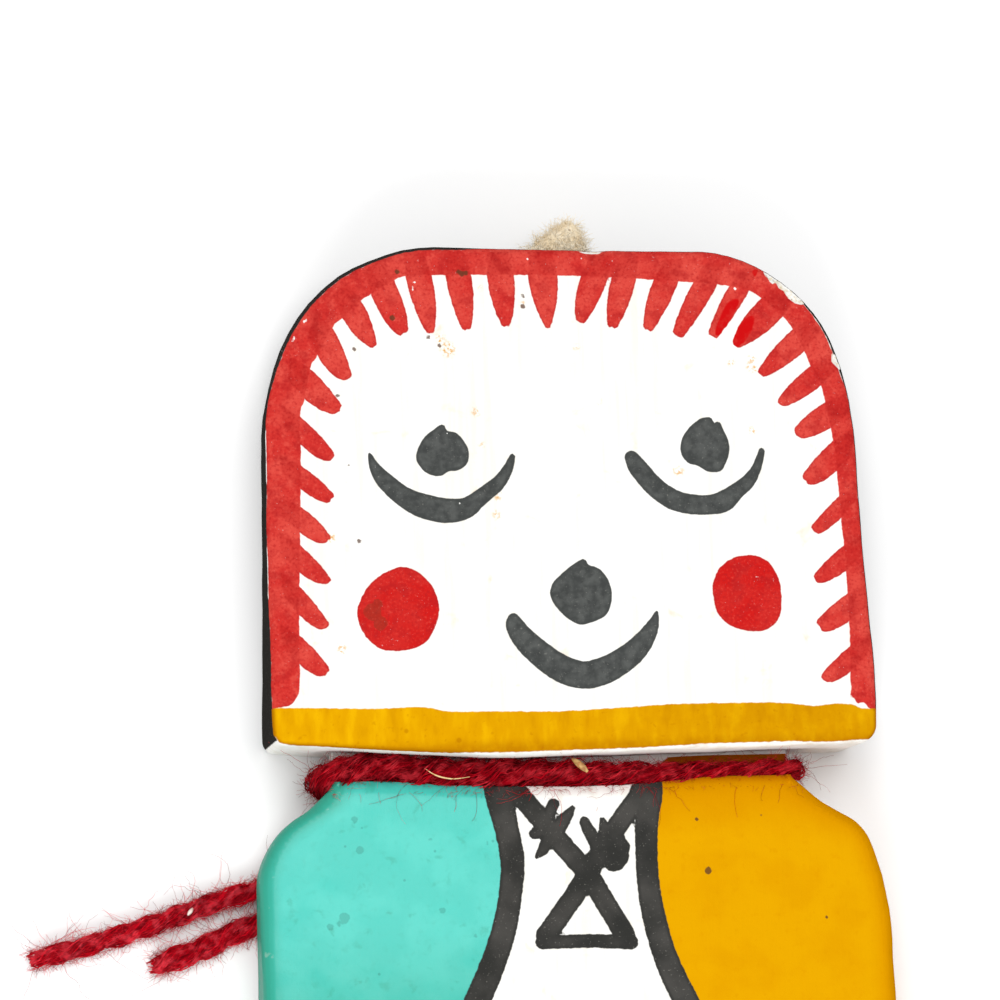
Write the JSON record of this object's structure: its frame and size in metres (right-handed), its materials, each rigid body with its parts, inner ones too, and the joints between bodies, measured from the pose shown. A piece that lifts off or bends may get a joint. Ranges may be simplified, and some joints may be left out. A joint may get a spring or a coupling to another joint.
{
  "type": "kachina doll",
  "caption": "Flat cradle doll carved from a wooden board and painted, with red wool yarn tied round its neck and a stub of cotton in the top of its head.",
  "frame": {"origin": "middle of the flat back that the doll lies on, under the centre of its length and width", "axes": "+Z out of the painted front, +Y to the top of the head, +X to the right of the front as it is looked at"},
  "size_m": [0.0995, 0.18, 0.015],
  "materials": {
    "painted_wood": "matt painted wood",
    "red_wool": "fuzzy spun wool",
    "cream_cotton": "loose raw cotton"
  },
  "bodies": {
    "root": {"carved_doll": "painted_wood", "neck_yarn": "red_wool", "yarn_tail_long": "red_wool", "yarn_tail_short": "red_wool", "cotton_tuft": "cream_cotton"}
  },
  "joints": []
}
